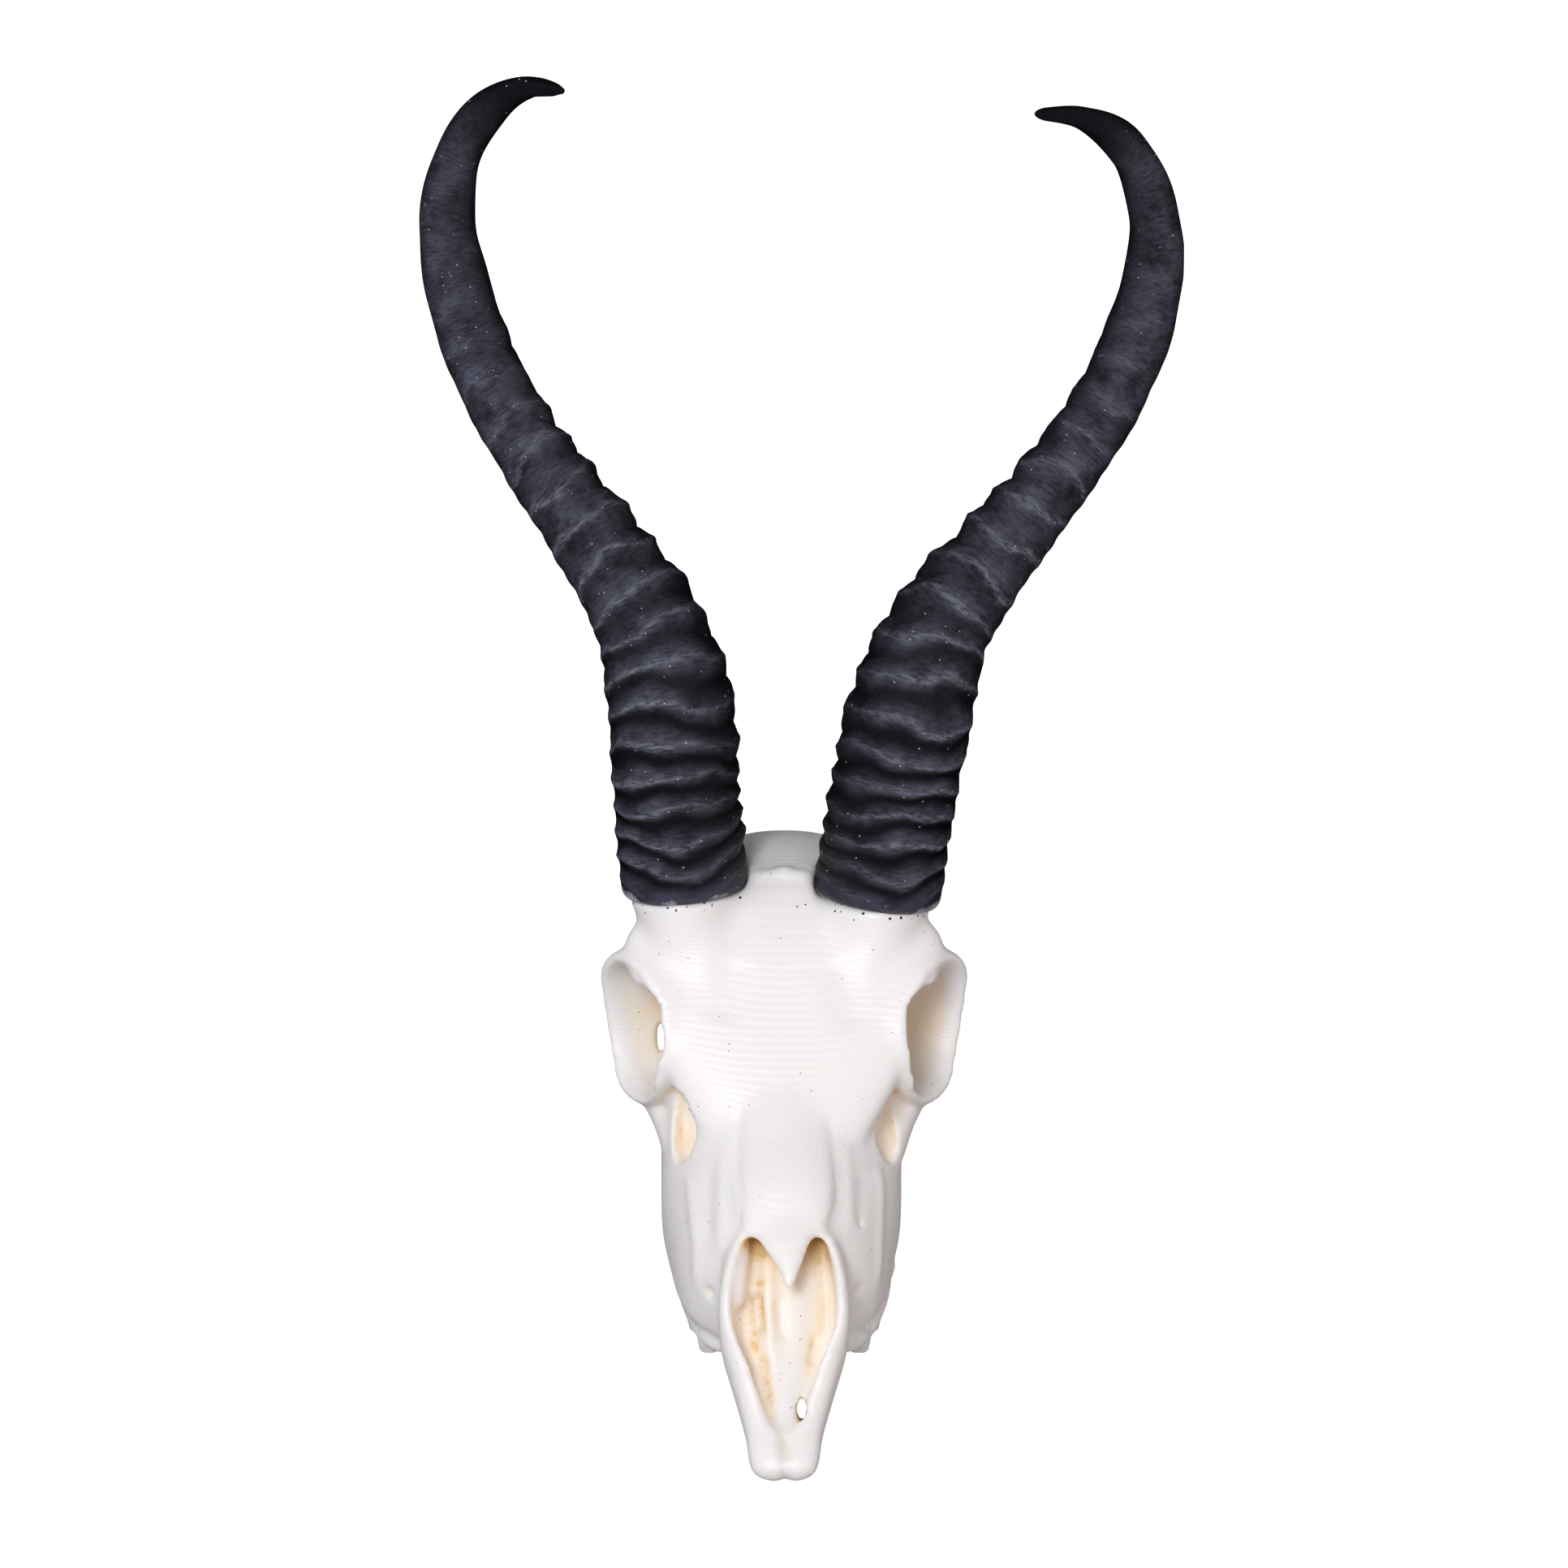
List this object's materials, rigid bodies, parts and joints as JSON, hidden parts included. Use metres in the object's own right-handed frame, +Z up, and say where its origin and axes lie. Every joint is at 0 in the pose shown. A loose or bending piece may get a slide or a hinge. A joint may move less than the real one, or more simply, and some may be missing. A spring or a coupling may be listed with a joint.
{
  "type": "miniature springbok skull replica",
  "caption": "Small cast resin replica of a springbok ram's skull, no lower jaw, with two ringed black horns; a still display piece",
  "frame": {"origin": "middle of the bounding box in X and Y, at the level of the surface that it rests on", "axes": "+Z up, muzzle towards -Y, horns up and back towards +Y, +X to the viewer's right when it is seen from the front"},
  "size_m": [0.0688, 0.0926, 0.0881],
  "materials": {
    "bone_resin": "ivory cast resin, satin, warmer in the hollows",
    "tooth_resin": "the same ivory cast resin, satin",
    "horn_paint": "blue-black brushed acrylic paint on resin, low satin"
  },
  "bodies": {
    "root": {"skull": "bone_resin", "teeth_left": "tooth_resin", "teeth_right": "tooth_resin", "horn_left": "horn_paint", "horn_right": "horn_paint"}
  },
  "joints": []
}
